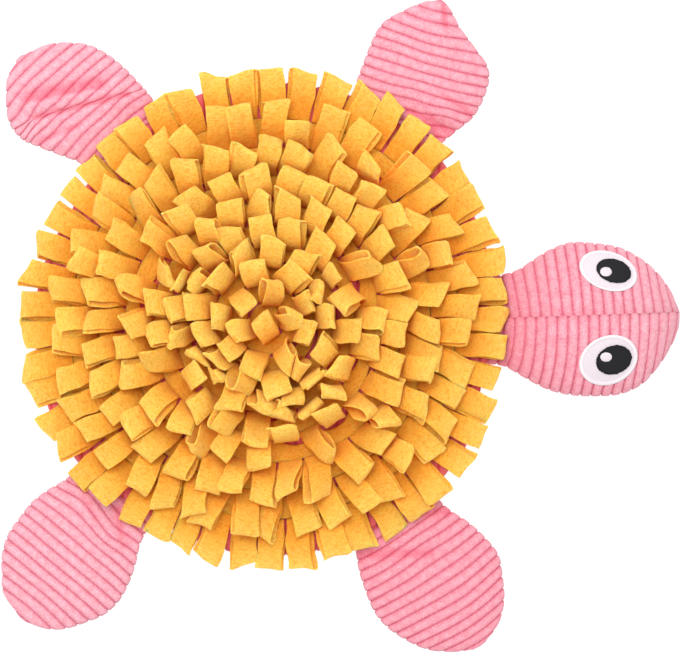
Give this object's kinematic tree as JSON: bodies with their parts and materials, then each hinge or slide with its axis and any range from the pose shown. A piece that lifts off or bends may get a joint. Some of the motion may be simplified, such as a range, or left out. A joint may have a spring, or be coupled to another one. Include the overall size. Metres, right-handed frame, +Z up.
{
  "type": "snuffle mat",
  "caption": "Turtle-shaped snuffle mat: round ribbed corduroy base with flat flippers and a stuffed head, covered in rings of folded fleece loops.",
  "frame": {"origin": "centre of the round base, on its flat underside", "axes": "+X towards the head, along the mat's length; +Y towards the animal's left; +Z up, out of the loops"},
  "size_m": [0.5576, 0.5377, 0.0529],
  "materials": {
    "corduroy_pink": "jumbo corduroy, broad raised wales",
    "fleece_yellow": "brushed polar fleece",
    "eye_white": "satin-stitched plain cloth",
    "eye_black": "dense machine embroidery"
  },
  "bodies": {
    "root": {"base": "corduroy_pink", "leg_back_left": "corduroy_pink", "leg_back_right": "corduroy_pink", "leg_front_left": "corduroy_pink", "leg_front_right": "corduroy_pink", "head_left": "corduroy_pink", "head_right": "corduroy_pink", "eye_left": "eye_white", "eye_right": "eye_white", "pupil_left": "eye_black", "pupil_right": "eye_black", "glint_left": "eye_white", "glint_right": "eye_white", "fringe_1": "fleece_yellow", "fringe_2": "fleece_yellow", "fringe_3": "fleece_yellow", "fringe_4": "fleece_yellow", "fringe_5": "fleece_yellow", "fringe_6": "fleece_yellow", "fringe_7": "fleece_yellow", "fringe_8": "fleece_yellow", "fringe_9": "fleece_yellow"}
  },
  "joints": []
}
